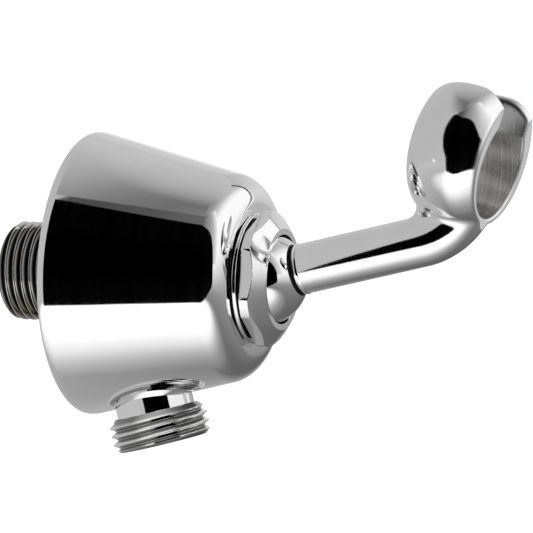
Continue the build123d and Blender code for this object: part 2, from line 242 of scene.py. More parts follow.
card("card_black", [on_screen(along, height, BLACK_LEAD) for along, height in BLACK_OUTLINE])
card("card_screen", [on_screen(0, SCREEN_BOTTOM), on_screen(SCREEN_LENGTH, SCREEN_BOTTOM),
                     on_screen(SCREEN_LENGTH, SCREEN_TOP), on_screen(0, SCREEN_TOP)],
     fades=[("X", SCREEN_SHADE)])

# %% [markdown]
# Overhead hangs a grey sheet, darkest above the black card and white at its front edge, where it meets
# the open front of the studio. The table is dark in front, lighter towards the wall, and has one bright
# patch on the left that gives the white band under the black. Flat sheets are enough, because the
# metal's own curves bend them.

# %% Overhead and table
OVERHEAD_HEIGHT = 0.36
OVERHEAD_SIDES = (-0.5, 0.9)
OVERHEAD_DEPTH = (-0.36, 0.6)
OVERHEAD_ACROSS = [(-0.20, 0.0), (-0.10, 0.05), (-0.05, 0.17), (0.0, 0.31), (0.02, 0.35), (0.07, 0.43),
                   (0.15, 0.49), (0.3, 0.54), (0.9, 0.54)]
OVERHEAD_ALONG = [(-0.36, 1.0), (-0.27, 0.77), (-0.21, 0.51), (-0.15, 0.37), (-0.10, 0.29), (-0.065, 0.26),
                  (-0.035, 0.15), (-0.02, 0.18), (-0.005, 0.25), (0.015, 0.38), (0.035, 0.46), (0.08, 0.48),
                  (0.6, 0.52)]
TABLE_HEIGHT = -0.10
TABLE_SIDES = (-3.0, 3.0)
TABLE_DEPTH = (-3.0, 0.3)
TABLE_ALONG = [(-3.0, 0.5), (-1.4, 0.42), (-0.75, 0.33), (-0.5, 0.27), (-0.35, 0.235), (-0.26, 0.205),
               (-0.19, 0.18), (-0.14, 0.155), (-0.1, 0.13), (-0.06, 0.12), (-0.045, 0.14), (-0.03, 0.21),
               (-0.01, 0.29), (0.01, 0.36), (0.03, 0.42), (0.06, 0.45), (0.1, 0.48), (0.3, 0.56)]
BRIGHT_SPOT = (-0.20, -0.08, TABLE_HEIGHT)
BRIGHT_SPREAD = [(0.0, 1.2), (0.12, 1.1), (0.15, 0.83), (0.165, 0.6), (0.178, 0.45), (0.196, 0.31),
                 (0.216, 0.24), (0.235, 0.16), (0.30, 0.1), (0.4, 0.0)]


def level_corners(sides, depth, height):
    """The corners of a level sheet."""
    return [(sides[0], depth[0], height), (sides[1], depth[0], height),
            (sides[1], depth[1], height), (sides[0], depth[1], height)]


card("card_overhead", level_corners(OVERHEAD_SIDES, OVERHEAD_DEPTH, OVERHEAD_HEIGHT),
     fades=[("X", OVERHEAD_ACROSS), ("Y", OVERHEAD_ALONG)])
card("card_table", level_corners(TABLE_SIDES, TABLE_DEPTH, TABLE_HEIGHT),
     fades=[("Y", TABLE_ALONG), (BRIGHT_SPOT, BRIGHT_SPREAD)])

# %% [markdown]
# Two plain grey walls close the back, and the left one stops level with the black card's lower edge. A
# room in one piece would do the same, but with single sheets each one can be moved until its reflection
# is right.

# %% Walls
WALL_LEVEL = 0.5
WALL_CORNER = (-0.45, 0.30)
WALL_END = (0.9, 0.30)
WALL_TOP = 0.6
LEFT_WALL_BOTTOM = -0.057


def wall_corners(start, end, bottom=TABLE_HEIGHT):
    """The corners of a wall between two points of the floor plan, from its bottom up."""
    return [(*start, bottom), (*end, bottom), (*end, WALL_TOP), (*start, WALL_TOP)]


card("card_left", wall_corners(SCREEN_WALL_END, WALL_CORNER, LEFT_WALL_BOTTOM), level=WALL_LEVEL)
card("card_rear", wall_corners(WALL_CORNER, WALL_END), level=WALL_LEVEL)

# %% [markdown]
# To the right and in front the studio is open, closed off by pale cards that are grey at the table and
# lighter above it. The front card keeps the horizon soft. Lamps could do some of this, but a lamp shows
# as a hard spot in a mirror, and a card shows as a shape that we can draw.

# %% Front card
FRONT_SIDES = (-0.5, 1.0)
FRONT_PLACE = -0.6
FRONT_TOP = 0.2
FRONT_SHADE = [(TABLE_HEIGHT, 0.30), (-0.076, 0.355), (-0.022, 0.52), (0.01, 0.64), (0.033, 0.70),
               (0.099, 0.88), (FRONT_TOP, 1.0)]

card("card_front", [(FRONT_SIDES[0], FRONT_PLACE, TABLE_HEIGHT), (FRONT_SIDES[1], FRONT_PLACE, TABLE_HEIGHT),
                    (FRONT_SIDES[1], FRONT_PLACE, FRONT_TOP), (FRONT_SIDES[0], FRONT_PLACE, FRONT_TOP)],
     fades=[("Z", FRONT_SHADE)])

# %% [markdown]
# The right card's near edge leans and is dark, which draws the thin dark line on the body's shoulder.
# It pales towards the table, so that it doesn't streak the body's other side. The edge could be one
# more fade on the card, but a fade follows an axis, and a strip of its own can lean.

# %% Right cards
RIGHT_START = Vector((0.228, -0.198))
RIGHT_DIRECTION = Vector((0.5985, 0.8012))
RIGHT_BOTTOM = -0.08
RIGHT_FOOT = 0.045
RIGHT_HEAD = 0.085
RIGHT_EDGE_START = 0.0
RIGHT_EDGE_AT_START = 0.009
RIGHT_EDGE_AT_TOP = 0.018
RIGHT_EDGE_SHADE = [(RIGHT_EDGE_START, 0.35), (0.06, 0.2), (0.13, 0.06), (OVERHEAD_HEIGHT, 0.0)]
RIGHT_CORNER = 0.35
RIGHT_END = 0.62
RIGHT_SHADE = [(RIGHT_BOTTOM, 0.2), (-0.05, 0.28), (-0.01, 0.44), (0.015, 0.56), (0.045, 0.65),
               (0.08, 0.68), (0.125, 0.63), (0.175, 0.58), (0.235, 0.55), (OVERHEAD_HEIGHT, 0.48)]
RIGHT_REAR_SHADE = [(RIGHT_BOTTOM, 0.9), (0.1, 0.9), (0.15, 0.75), (0.2, 0.63), (OVERHEAD_HEIGHT, 0.57)]


def on_right(along, height):
    """A point of the right card: metres along it and height."""
    plan = RIGHT_START + RIGHT_DIRECTION * along
    return (plan.x, plan.y, height)


card("card_right", [on_right(RIGHT_FOOT, RIGHT_BOTTOM), on_right(RIGHT_CORNER, RIGHT_BOTTOM),
                    on_right(RIGHT_CORNER, OVERHEAD_HEIGHT), on_right(RIGHT_HEAD, OVERHEAD_HEIGHT)],
     fades=[("Z", RIGHT_SHADE)])
card("card_right_edge", [on_right(RIGHT_FOOT - RIGHT_EDGE_AT_START, RIGHT_EDGE_START),
                         on_right(RIGHT_FOOT, RIGHT_EDGE_START), on_right(RIGHT_HEAD, OVERHEAD_HEIGHT),
                         on_right(RIGHT_HEAD - RIGHT_EDGE_AT_TOP, OVERHEAD_HEIGHT)],
     fades=[("Z", RIGHT_EDGE_SHADE)])
card("card_right_rear", [on_right(RIGHT_CORNER, RIGHT_BOTTOM), on_right(RIGHT_END, RIGHT_BOTTOM),
                         on_right(RIGHT_END, OVERHEAD_HEIGHT), on_right(RIGHT_CORNER, OVERHEAD_HEIGHT)],
     fades=[("Z", RIGHT_REAR_SHADE)])

# %% [markdown]
# A small card stands low in front of the fork and lights its flat face. A brighter front card would
# light that face too, and wash out the rest, so the face gets a card of its own.

# %% Fork card
FORK_CARD = [(0.076, -0.150, -0.03), (0.096, -0.111, -0.03), (0.096, -0.111, 0.02), (0.076, -0.150, 0.02)]
FORK_CARD_LEVEL = 0.55

card("card_fork", FORK_CARD, level=FORK_CARD_LEVEL)

# %% [markdown]
# The floor is a wide pale sheet under the object. It is partly lit by the studio, so it keeps the
# object's soft shadow, and partly glows, so that it runs into the white background without an edge. A
# shadow catcher could hide it altogether, but a plain painted sheet stays honest from every side.

# %% Floor
FLOOR_DROP = 0.07
FLOOR_HALF = 3.0
FLOOR_GLOW = 0.55
FLOOR_WHITE = 0.8

floor_mesh = bpy.data.meshes.new("floor")
floor_z = cad_box[0].z - FLOOR_DROP
floor_mesh.from_pydata(
    [(x * FLOOR_HALF, y * FLOOR_HALF, floor_z) for x, y in ((-1, -1), (1, -1), (1, 1), (-1, 1))],
    [], [(0, 1, 2, 3)])
floor_material = bpy.data.materials.new("floor")
floor_material.use_nodes = True
paint = floor_material.node_tree.nodes["Principled BSDF"]
paint.inputs["Base Color"].default_value = (FLOOR_WHITE, FLOOR_WHITE, FLOOR_WHITE, 1)
paint.inputs["Roughness"].default_value = 1.0
paint.inputs["Specular IOR Level"].default_value = 0.0
paint.inputs["Emission Color"].default_value = (1, 1, 1, 1)
paint.inputs["Emission Strength"].default_value = FLOOR_GLOW
floor_mesh.materials.append(floor_material)
floor = bpy.data.objects.new("floor", floor_mesh)
bpy.context.scene.collection.objects.link(floor)
print("floor height in mm:", round(floor_z / MM, 1))

# %% [markdown]
# Nearly every piece here was turned on a lathe, and a lathe is easy to copy in mesh code: draw half of
# the section as points of (radius, place along the axis) and sweep them round in even steps. Mirror
# metal shows every kink, so curves get many points and true corners are marked sharp. A Smooth by Angle
# modifier would mark them too, but marks on the mesh itself go wherever the mesh goes.

# %% Arcs and corners
SHARP_ANGLE = math.radians(28)
WELD = 1e-7


def arc(centre, radius, start, end, steps):
    """Points along a circular arc of a section, from one angle to another in degrees."""
    angles = [math.radians(start + (end - start) * step / steps) for step in range(steps + 1)]
    return [(centre[0] + radius * math.cos(a), centre[1] + radius * math.sin(a)) for a in angles]


def smooth_with_corners(piece):
    """Smooth shading, broken at every edge that really turns a corner."""
    piece.data.shade_smooth()
    piece.data.set_sharp_from_angle(angle=SHARP_ANGLE)


def mesh_piece(name, vertices, faces):
    """A new object from points and faces, welded, with outward faces and sharp true corners."""
    mesh = bpy.data.meshes.new(name)
    mesh.from_pydata([tuple(v) for v in vertices], [], faces)
    build = bmesh.new()
    build.from_mesh(mesh)
    bmesh.ops.remove_doubles(build, verts=build.verts, dist=WELD)
    bmesh.ops.delete(build, geom=[edge for edge in build.edges if edge.is_wire], context="EDGES")
    bmesh.ops.recalc_face_normals(build, faces=build.faces)
    build.to_mesh(mesh)
    build.free()
    piece = bpy.data.objects.new(name, mesh)
    bpy.context.scene.collection.objects.link(piece)
    smooth_with_corners(piece)
    return piece


print("corners sharper than", round(math.degrees(SHARP_ANGLE)), "degrees stay crisp")

# %% [markdown]
# The sweep sets one column of the section at each angle and joins neighbouring columns with faces.
# Blender's Screw modifier does the same, but with our own loop each piece sits on its real axis at
# once, and a column may change with its angle, which the threads and the nut's flats need.

# %% Lathe
FULL_TURN = 2 * math.pi


def swept(name, origin, direction, columns):
    """Columns of (radius, place) points in millimetres round an axis; the last column meets the first."""
    forward = Vector(direction).normalized()
    side = Vector((1, 0, 0))
    turn = forward.cross(side)
    rows = len(columns[0])
    steps = len(columns) - 1
    vertices = []
    for step, column in enumerate(columns):
        angle = FULL_TURN * step / steps
        out = side * math.cos(angle) + turn * math.sin(angle)
        vertices += [Vector(origin) + (out * radius + forward * place) * MM for radius, place in column]
    faces = []
    for step in range(steps):
        here, there = step * rows, (step + 1) * rows
        faces += [(here + k, here + (k + 1) % rows, there + (k + 1) % rows, there + k) for k in range(rows)]
    return mesh_piece(name, vertices, faces)


def turned(name, origin, direction, section, steps):
    """One section swept round an axis."""
    return swept(name, origin, direction, [section] * (steps + 1))


# %% [markdown]
# The wall body is a hollow brass cone with a rolled rim, polished and chromed. Its rounds have to run
# into the straight cone without a step, because a mirror shows the smallest one. They could be set by
# eye and smoothed, but here each round's centre is worked out from the cone's angle, so that it touches
# the line beside it.

# %% Cone and its rounds
BODY_LENGTH = 36.6
RIM_RADIUS = 30.1
CONE = math.radians(14.57)
FRONT_ROUND = 6.6
RIM_ROLL = 7.0
RIM_ROLL_DEPTH = 1.9
RIM_ROUND = 0.5
WALL = 2.8
HOLLOW_DEPTH = 21.0
HOLLOW_ROUND = 2.72


def cone_radius(place):
    """Outer radius of the cone at a distance in front of the wall."""
    return RIM_RADIUS - place * math.tan(CONE)


cone_degrees = math.degrees(CONE)
front_height = BODY_LENGTH - FRONT_ROUND
front_centre = (cone_radius(front_height) - FRONT_ROUND / math.cos(CONE), front_height)
roll_centre = (cone_radius(RIM_ROLL_DEPTH) - RIM_ROLL * math.cos(CONE),
               RIM_ROLL_DEPTH - RIM_ROLL * math.sin(CONE))
rim_lean = math.asin((RIM_ROUND - roll_centre[1]) / (RIM_ROLL - RIM_ROUND))
rim_centre = (roll_centre[0] + (RIM_ROLL - RIM_ROUND) * math.cos(rim_lean), RIM_ROUND)
hollow_height = HOLLOW_DEPTH - HOLLOW_ROUND
hollow_edge = RIM_RADIUS - WALL / math.cos(CONE) - hollow_height * math.tan(CONE)
hollow_centre = (hollow_edge - HOLLOW_ROUND / math.cos(CONE), hollow_height)
print("cone leans by degrees:", round(cone_degrees, 2), "rim's radius:", RIM_RADIUS)

# %% [markdown]
# The section is drawn once round: ball socket, front round, long straight cone, rim, and back along the
# hollow inside to the hub. The two wide rounds get a point every degree or two, so reflections slide
# round them. A Subdivision modifier would smooth fewer points, but it would pull the cone's straight
# line off its place.

# %% Wall body
OUT_OF_WALL = (0, -1, 0)
BODY_STEPS = 360
HUB_RADIUS = 13.6
HUB_RECESS = 1.5
WATERWAY = 5.2
WATERWAY_END = 12.4
DRILL_POINT = math.radians(30)
SOCKET_RADIUS = 12.55
SOCKET_STEP = 31.2
CUP_RADIUS = 11.0
SOCKET_FLOOR = 26.8
COLLAR_RADIUS = 13.6
COLLAR_FRONT = 37.05
COLLAR_ROUND = 0.3
COLLAR_POINTS = 6
FRONT_POINTS = 36
ROLL_POINTS = 10
RIM_POINTS = 8
HOLLOW_POINTS = 10

body_section = [(0, SOCKET_FLOOR), (CUP_RADIUS, SOCKET_FLOOR), (CUP_RADIUS, SOCKET_STEP),
                (SOCKET_RADIUS, SOCKET_STEP), (SOCKET_RADIUS, COLLAR_FRONT)]
collar_centre = (COLLAR_RADIUS - COLLAR_ROUND, COLLAR_FRONT - COLLAR_ROUND)
body_section += arc(collar_centre, COLLAR_ROUND, 90, 0, COLLAR_POINTS)
body_section += [(COLLAR_RADIUS, BODY_LENGTH)]
body_section += arc(front_centre, FRONT_ROUND, 90, cone_degrees, FRONT_POINTS)
body_section += arc(roll_centre, RIM_ROLL, cone_degrees, math.degrees(rim_lean), ROLL_POINTS)
body_section += arc(rim_centre, RIM_ROUND, math.degrees(rim_lean), -90, RIM_POINTS)
body_section += [(RIM_RADIUS - WALL / math.cos(CONE), 0)]
body_section += arc(hollow_centre, HOLLOW_ROUND, cone_degrees, 90, HOLLOW_POINTS)
body_section += arc((HUB_RADIUS + HOLLOW_ROUND, hollow_height), HOLLOW_ROUND, 90, 180, HOLLOW_POINTS)
body_section += [(HUB_RADIUS, HUB_RECESS), (WATERWAY, HUB_RECESS), (WATERWAY, WATERWAY_END),
                 (0, WATERWAY_END + WATERWAY * math.tan(DRILL_POINT))]
wall_body = turned("wall_body_cone", (0, 0, 0), OUT_OF_WALL, body_section, BODY_STEPS)
print("points in the body's section:", len(body_section))

# %% [markdown]
# Two helpers follow the lathe. One joins a second shape to a piece, or cuts it away, with a Boolean
# modifier. The modifier could stay live, but its tool would have to stay in the scene too, so the
# result is kept at once. The other puts a finished piece on its body in place of its plain solid.

# %% Carve and fit
def carve(piece, tool, operation):
    """Joins a tool to a piece or cuts it away, keeps the result and removes the tool."""
    step = piece.modifiers.new(operation, "BOOLEAN")
    step.operation = operation
    step.solver = "EXACT"
    step.object = tool
    bpy.context.view_layer.update()
    result = bpy.data.meshes.new_from_object(piece.evaluated_get(bpy.context.evaluated_depsgraph_get()))
    piece.modifiers.clear()
    piece.data = result
    bpy.data.objects.remove(tool)
    smooth_with_corners(piece)


def fit(piece, body, node):
    """Puts a piece on its body, in place of its plain solid."""
    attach(piece, body)
    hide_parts(node)
    print(piece.name, "faces:", len(piece.data.polygons))


# %% [markdown]
# The outlet leaves the cone square to its skin, so its axis leans by the cone's own angle. Inside the
# hollow a round boss carries it. A boolean joins the boss to the cone and another drills the waterway
# and the nipple's socket, the way the real casting is drilled.

# %% Outlet boss and waterway
OUTLET_STEPS = 192
OUTLET_OFFSET = 6.2
OUTLET_ROOT = (0, -OUTLET_OFFSET * MM, 0)
OUTLET_DIRECTION = (0, -math.sin(CONE), -math.cos(CONE))
OUTLET_SOCKET = 8.3
OUTLET_FLOOR = 15.99
BOSS_RADIUS = 10.5
BOSS_START = 9.0
BOSS_END = 25.4
DRILL_OUT = 40.0
SEAM_RADIUS = 8.6
SEAM_FLOOR = 25.6

boss = turned("boss", OUTLET_ROOT, OUTLET_DIRECTION,
              [(0, BOSS_START), (BOSS_RADIUS, BOSS_START), (BOSS_RADIUS, BOSS_END), (0, BOSS_END)],
              OUTLET_STEPS)
carve(wall_body, boss, "UNION")
drill = turned("drill", OUTLET_ROOT, OUTLET_DIRECTION,
               [(0, 0), (WATERWAY, 0), (WATERWAY, OUTLET_FLOOR), (OUTLET_SOCKET, OUTLET_FLOOR),
                (OUTLET_SOCKET, SEAM_FLOOR), (SEAM_RADIUS, SEAM_FLOOR), (SEAM_RADIUS, DRILL_OUT),
                (0, DRILL_OUT)],
               OUTLET_STEPS)
carve(wall_body, drill, "DIFFERENCE")
fit(wall_body, "base", "wall_body")

# %% [markdown]
# Both ends of the waterway have a half-inch pipe thread: fourteen turns to the inch, with rounded
# crests. A picture of rings would not do, because the crests cut the outline. Each column of the sweep
# takes the same thread profile shifted by its share of one pitch, so the rows run along the helix and
# the crest stays crisp. Rows that leave the threaded length are held at its ends and weld into the end
# rings.

# %% Pipe thread
INCH = 25.4
TURNS_TO_THE_INCH = 14
PITCH = INCH / TURNS_TO_THE_INCH
CREST = 10.48
ROOT = 9.32
THREAD_STEPS = 160
TOOTH = [(0.0, 0.0), (0.05, 0.02), (0.10, 0.10), (0.25, 0.50), (0.40, 0.90), (0.45, 0.98), (0.5, 1.0),
         (0.55, 0.98), (0.60, 0.90), (0.75, 0.50), (0.90, 0.10), (0.95, 0.02)]


def tooth_height(turns):
    """Height of the thread, from 0 in the root to 1 on the crest, after a number of turns."""
    share = turns % 1
    points = TOOTH + [(1.0, 0.0)]
    for (left, low), (right, high) in zip(points, points[1:]):
        if share <= right:
            return low + (high - low) * (share - left) / (right - left)
    return 0.0


def threaded(start, end, limit, step):
    """One column of a thread from one place to another, never outside the limit's radius at each place."""
    shift = step / THREAD_STEPS
    first = math.floor(start / PITCH) - 1
    last = math.ceil(end / PITCH) + 1
    column = []
    for turn in range(first, last + 1):
        for share, _ in TOOTH:
            place = (turn + share + shift) * PITCH
            held = min(max(place, start), end)
            height = tooth_height(held / PITCH - shift)
            column.append((min(ROOT + (CREST - ROOT) * height, limit(held)), held))
    return column


print("thread pitch in mm:", round(PITCH, 3), "depth:", round(CREST - ROOT, 2))

# %% [markdown]
# The inlet stub screws into the pipe in the wall. It is a tube with the thread outside, a chamfered
# end, and a bore with a step that the non-return valve stops against. Its bore could be cut with a
# boolean, but here each column of the sweep runs down the bore and back along the thread, so the tube
# closes by itself and stays clean.

# %% Inlet stub
STUB_END = -18.5
STUB_CHAMFER = 1.2
CARTRIDGE_BORE = 7.0
CARTRIDGE_STEP = -3.0


def stub_limit(place):
    """The turned chamfer at the stub's end."""
    return CREST - max(0, STUB_END + STUB_CHAMFER - place)


stub_bore = [(WATERWAY, HUB_RECESS), (WATERWAY, CARTRIDGE_STEP), (CARTRIDGE_BORE, CARTRIDGE_STEP),
             (CARTRIDGE_BORE, STUB_END)]
stub_columns = [stub_bore + threaded(STUB_END, HUB_RECESS, stub_limit, step)
                for step in range(THREAD_STEPS + 1)]
stub = swept("inlet_stub", (0, 0, 0), OUT_OF_WALL, stub_columns)
fit(stub, "base", "wall_body")

# %% [markdown]
# The outlet nipple is turned from bar: a plain neck that shows between body and thread, a slope up to
# the first crest, four turns of thread for the hose, and a bore right through. It is swept as the stub
# was. The slope and the chamfer only limit the thread's radius at each place, as the tool's cut does on
# the real crests.

# %% Outlet nipple
NIPPLE_BORE = 5.6
SHANK_RADIUS = 8.25
SHANK_START = 17.54
SHOULDER = 29.54
RUNOUT_RADIUS = 8.78
NIPPLE_END = 36.64
NIPPLE_CHAMFER = 1.2


def nipple_limit(place):
    """The slope up to the first crest and the chamfer at the end."""
    return min(RUNOUT_RADIUS + place - SHOULDER, CREST - max(0, place - NIPPLE_END + NIPPLE_CHAMFER))


nipple_shank = [(NIPPLE_BORE, NIPPLE_END), (NIPPLE_BORE, SHANK_START), (SHANK_RADIUS, SHANK_START),
                (SHANK_RADIUS, SHOULDER)]
nipple_columns = [nipple_shank + threaded(SHOULDER, NIPPLE_END, nipple_limit, step)
                  for step in range(THREAD_STEPS + 1)]
nipple = swept("outlet_nipple_threaded", OUTLET_ROOT, OUTLET_DIRECTION, nipple_columns)
fit(nipple, "base", "outlet_nipple")

# %% [markdown]
# The retaining nut is a ring with a domed front. The dome is one wide arc from the nut's land to its
# lip, and its centre is found as with compasses, from the two ends and the radius. A ball-shaped
# boolean could cut the same curve, but an arc in the section keeps the lines of faces even all round.

# %% Nut dome
NUT_RADIUS = 14.1
NUT_LAND_END = 39.7
NUT_FRONT = 42.3
NUT_LIP = 10.5
NUT_DOME = 30.0
NUT_DOME_STEPS = 40

dome_chord = Vector((NUT_LIP - NUT_RADIUS, NUT_FRONT - NUT_LAND_END))
dome_middle = Vector((NUT_LIP + NUT_RADIUS, NUT_FRONT + NUT_LAND_END)) / 2
dome_sag = math.sqrt(NUT_DOME ** 2 - dome_chord.length_squared / 4)
dome_centre = dome_middle + Vector((-dome_chord.y, dome_chord.x)).normalized() * dome_sag
dome_start = math.degrees(math.atan2(NUT_LAND_END - dome_centre.y, NUT_RADIUS - dome_centre.x))
dome_end = math.degrees(math.atan2(NUT_FRONT - dome_centre.y, NUT_LIP - dome_centre.x))
dome = arc(dome_centre, NUT_DOME, dome_start, dome_end, NUT_DOME_STEPS)
print("dome from", round(dome_start, 1), "to", round(dome_end, 1), "degrees")

# %% [markdown]
# The nut was turned as a domed ring, and then six flats were milled on its rim. A lathe column knows
# its own angle, so the flats need no boolean: wherever a column's radius would pass the flat, it is
# held there. That leaves the curved line that a milled flat cuts into a dome.

# %% Retaining nut
NUT_STEPS = 360
NUT_FLATS = 6
NUT_HALF_FLAT = 13.1
NUT_FLAT_TURN = math.radians(8.6)
NUT_BACK = 37.75
NUT_SKIRT_END = 31.6
NUT_SKIRT_RADIUS = 12.5
SKIRT_ROOT = 12.1
SKIRT_RELIEF = 36.8
NUT_BORE = 11.0
NUT_BORE_END = 40.0
NUT_MOUTH = 9.3
NUT_MOUTH_LAND = 0.4
NUT_MOUTH_DISH = 0.05
NUT_BEVEL = 0.12


def nut_column(step):
    """The nut's section at one angle, cut back to the flat that it meets."""
    share = FULL_TURN / NUT_FLATS
    from_flat = (FULL_TURN * step / NUT_STEPS + NUT_FLAT_TURN + share / 2) % share - share / 2
    flat = NUT_HALF_FLAT / math.cos(from_flat)
    rim = min(NUT_RADIUS, flat)
    section = [(NUT_BORE, NUT_SKIRT_END), (NUT_SKIRT_RADIUS, NUT_SKIRT_END),
               (NUT_SKIRT_RADIUS, SKIRT_RELIEF), (SKIRT_ROOT, SKIRT_RELIEF + NUT_SKIRT_RADIUS - SKIRT_ROOT),
               (SKIRT_ROOT, NUT_BACK), (rim - NUT_BEVEL, NUT_BACK), (rim, NUT_BACK + NUT_BEVEL)]
    section += [(min(radius, flat), place) for radius, place in dome]
    section += [(NUT_MOUTH, NUT_FRONT - NUT_MOUTH_DISH), (NUT_MOUTH, NUT_FRONT - NUT_MOUTH_LAND),
                (NUT_BORE, NUT_BORE_END)]
    return section


nut_columns = [nut_column(step) for step in range(NUT_STEPS + 1)]
nut = swept("retaining_nut_hex", (0, 0, 0), OUT_OF_WALL, nut_columns)
fit(nut, "base", "retaining_nut")

# %% [markdown]
# Where the rod meets the ball, a thin ring fills the small groove and is coloured near-black as painted
# shade, and the rod starts with a low bead that catches a thin highlight. A line painted on the rod would
# have no edge to catch light, so both are lathe rings round the rod's axis, and they stay right when the arm
# turns.

# %% Rod's shaded groove ring and bead
BALL_DISTANCE = 37.3
BALL_CENTRE = (0, -BALL_DISTANCE * MM, 0)
BALL_RADIUS = 10.0
ROD_LIFT = math.radians(13.9)
ROD_DIRECTION = (0, -math.cos(ROD_LIFT), math.sin(ROD_LIFT))
ROD_RADIUS = 5.25
ROD_STEPS = 128
SEAM_OUTER = 5.4
SEAM_INNER = 4.45
SEAM_RIDGE = (4.95, 9.4)
BEAD_START = 9.35
BEAD_END = 10.25
BEAD_HEIGHT = 0.14
BEAD_POINTS = 12


def on_ball(radius):
    """A section point on the ball's skin, at a radius from the rod's axis."""
    return (radius, math.sqrt(BALL_RADIUS ** 2 - radius ** 2))


rod_groove_shade_ring = turned("rod_groove_shade_ring", BALL_CENTRE, ROD_DIRECTION,
                  [on_ball(SEAM_OUTER), on_ball(SEAM_INNER), SEAM_RIDGE], ROD_STEPS)
bead_half = (BEAD_END - BEAD_START) / 2
bead_round = (bead_half ** 2 + BEAD_HEIGHT ** 2) / (2 * BEAD_HEIGHT)
bead_lean = math.degrees(math.asin(bead_half / bead_round))
bead_centre = (ROD_RADIUS + BEAD_HEIGHT - bead_round, BEAD_START + bead_half)
bead_section = arc(bead_centre, bead_round, -bead_lean, bead_lean, BEAD_POINTS)
bead_section += [(ROD_RADIUS - BEAD_HEIGHT, BEAD_END), (ROD_RADIUS - BEAD_HEIGHT, BEAD_START)]
rod_bead = turned("rod_bead", BALL_CENTRE, ROD_DIRECTION, bead_section, ROD_STEPS)
for ring in (rod_groove_shade_ring, rod_bead):
    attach(ring, "arm")
    print(ring.name, "faces:", len(ring.data.polygons))

# %% [markdown]
# The non-return valve's spring sits between its plunger and the spider that guides the stem, and gets
# shorter when water lifts the plunger. The coil is a mesh of its own: a circle of wire carried round a
# helix, with its ends wound flat as on a real compression spring. A curve with a round bevel would give the
# same wire, but our own rings keep the ends flat.

# %% Valve spring
SPRING_COIL = 2.3
SPRING_WIRE = 0.25
SPRING_TURNS = 4.5
SPRING_FLAT_TURNS = 0.75
SPRING_STEPS = 160
WIRE_SIDES = 10

spring_low, spring_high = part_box("check_valve_spring")
spring_bottom = spring_low.y / MM + SPRING_WIRE
spring_top = spring_high.y / MM - SPRING_WIRE


def coil_height(turns):
    """Place of the wire along the spring: wound flat at both ends, rising between them."""
    share = (turns - SPRING_FLAT_TURNS) / (SPRING_TURNS - 2 * SPRING_FLAT_TURNS)
    flat = 2 * SPRING_WIRE
    lift = min(max(share, 0), 1)
    start = flat * min(turns / SPRING_FLAT_TURNS, 1) / 2
    end = flat * max((turns - SPRING_TURNS + SPRING_FLAT_TURNS) / SPRING_FLAT_TURNS, 0) / 2
    return spring_bottom + start + end + (spring_top - spring_bottom - flat) * lift


wire_points = []
for step in range(SPRING_STEPS + 1):
    turns = SPRING_TURNS * step / SPRING_STEPS
    angle = FULL_TURN * turns
    for side in range(WIRE_SIDES):
        round_wire = FULL_TURN * side / WIRE_SIDES
        radius = SPRING_COIL + SPRING_WIRE * math.cos(round_wire)
        place = coil_height(turns) + SPRING_WIRE * math.sin(round_wire)
        wire_points.append(Vector((radius * math.cos(angle), place, radius * math.sin(angle))) * MM)
last_ring = SPRING_STEPS * WIRE_SIDES
wire_faces = [tuple(range(WIRE_SIDES)), tuple(range(last_ring, last_ring + WIRE_SIDES))]
for step in range(SPRING_STEPS):
    here, there = step * WIRE_SIDES, (step + 1) * WIRE_SIDES
    for side in range(WIRE_SIDES):
        after = (side + 1) % WIRE_SIDES
        wire_faces.append((here + side, here + after, there + after, there + side))
valve_spring = mesh_piece("valve_spring_coil", wire_points, wire_faces)
fit(valve_spring, "base", "check_valve_spring")

# %% [markdown]
# No real surface is one even value. Each finish below starts from a Noise node read in the piece's own
# coordinates, so that it travels with the piece when a joint moves. Stretching the coordinates turns
# round grains into lines: a factor of some thousands along one axis and a few tens across it gives the
# lathe's fine marks. An image could hold such marks, but it would need unwrapped faces and would blur
# close up.

# %% Finish and grain
def finish(name, metallic):
    """A new material with a Principled shader, metal or not."""
    material = bpy.data.materials.new(name)
    material.use_nodes = True
    material.node_tree.nodes["Principled BSDF"].inputs["Metallic"].default_value = metallic
    return material


def grain(material, frequency, turn=(0, 0, 0), detail=3.0):
    """Noise with a number of grains to the metre along each axis, after a turn in degrees."""
    tree = material.node_tree
    place = tree.nodes.new("ShaderNodeTexCoord")
    stretch = tree.nodes.new("ShaderNodeMapping")
    stretch.inputs["Rotation"].default_value = [math.radians(angle) for angle in turn]
    stretch.inputs["Scale"].default_value = frequency
    noise = tree.nodes.new("ShaderNodeTexNoise")
    noise.inputs["Scale"].default_value = 1.0
    noise.inputs["Detail"].default_value = detail
    tree.links.new(place.outputs["Object"], stretch.inputs["Vector"])
    tree.links.new(stretch.outputs[0], noise.inputs["Vector"])
    return noise.outputs["Fac"]


# %% [markdown]
# The noise then does three small jobs: it shifts the colour, the roughness and, through a Bump node,
# the surface. Each job is a helper of its own, because a finish may take its colour from one grain and
# its shine from another. Moving the mesh would be truer than a Bump node, but marks this fine would
# need millions of faces.

# %% Colour, shine and relief
NOISE_LOW = 0.3
NOISE_HIGH = 0.7


def tint(material, noise, dark, light):
    """The grain shifts the colour between two near shades."""
    tree = material.node_tree
    ramp = tree.nodes.new("ShaderNodeValToRGB")
    ramp.color_ramp.elements[0].position = NOISE_LOW
    ramp.color_ramp.elements[0].color = (*dark, 1)
    ramp.color_ramp.elements[1].position = NOISE_HIGH
    ramp.color_ramp.elements[1].color = (*light, 1)
    tree.links.new(noise, ramp.inputs["Fac"])
    tree.links.new(ramp.outputs["Color"], tree.nodes["Principled BSDF"].inputs["Base Color"])


